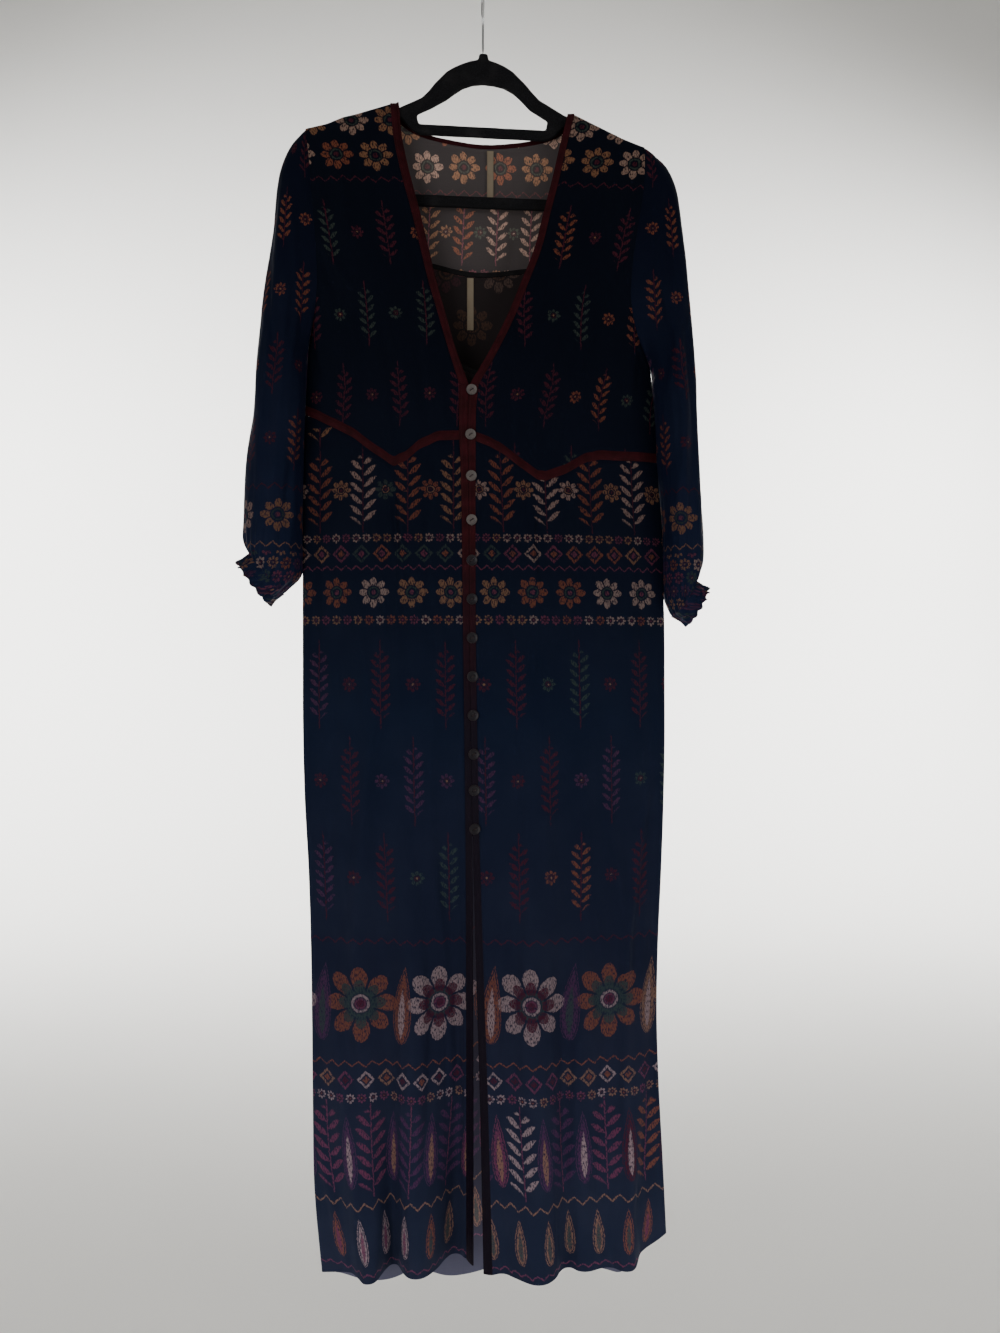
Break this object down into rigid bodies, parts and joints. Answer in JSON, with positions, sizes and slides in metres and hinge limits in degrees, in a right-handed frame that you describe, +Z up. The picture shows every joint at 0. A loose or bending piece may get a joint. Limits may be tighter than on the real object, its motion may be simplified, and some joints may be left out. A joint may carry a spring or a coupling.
{
  "type": "maxi dress on a hanger",
  "caption": "Long button-front dress with a deep V neck, bishop sleeves, dipped waist band and inner slip, hanging on a flat flocked hanger with a wire hook.",
  "frame": {"origin": "inside top of the hanger hook, where the rail carries it", "axes": "+Z up along the hanging dress, -Y out of its front, +X to the right of someone who looks at the front"},
  "size_m": [0.5527, 0.1062, 1.538],
  "materials": {
    "cloth": "matt woven viscose, navy ground with a many-coloured print",
    "trim": "matt oxblood binding",
    "slip": "matt near-black lining cloth",
    "label": "bare cream woven tape",
    "button": "pale shell-like plastic",
    "flock": "black flocking",
    "wire": "bright wire"
  },
  "bodies": {
    "root": {"back_bodice": "cloth", "back_skirt": "cloth", "button_01": "button", "button_02": "button", "button_03": "button", "button_04": "button", "button_05": "button", "button_06": "button", "button_07": "button", "button_08": "button", "button_09": "button", "button_10": "button", "button_11": "button", "button_12": "button", "cuff_left": "cloth", "cuff_right": "cloth", "cuff_ruffle_left": "cloth", "cuff_ruffle_right": "cloth", "front_binding_left": "trim", "front_binding_right": "trim", "front_bodice_left": "cloth", "front_bodice_right": "cloth", "front_skirt_left": "cloth", "front_skirt_right": "cloth", "hanger_body": "flock", "hanger_hook": "wire", "neck_binding_back": "trim", "neck_binding_left": "trim", "neck_binding_right": "trim", "neck_label": "label", "sleeve_left": "cloth", "sleeve_right": "cloth", "slip_back": "slip", "slip_binding_back": "slip", "slip_binding_front": "slip", "slip_front": "slip", "slip_label": "label", "slip_strap_left": "slip", "slip_strap_right": "slip", "waist_band_back": "trim", "waist_band_left": "trim", "waist_band_right": "trim"}
  },
  "joints": []
}
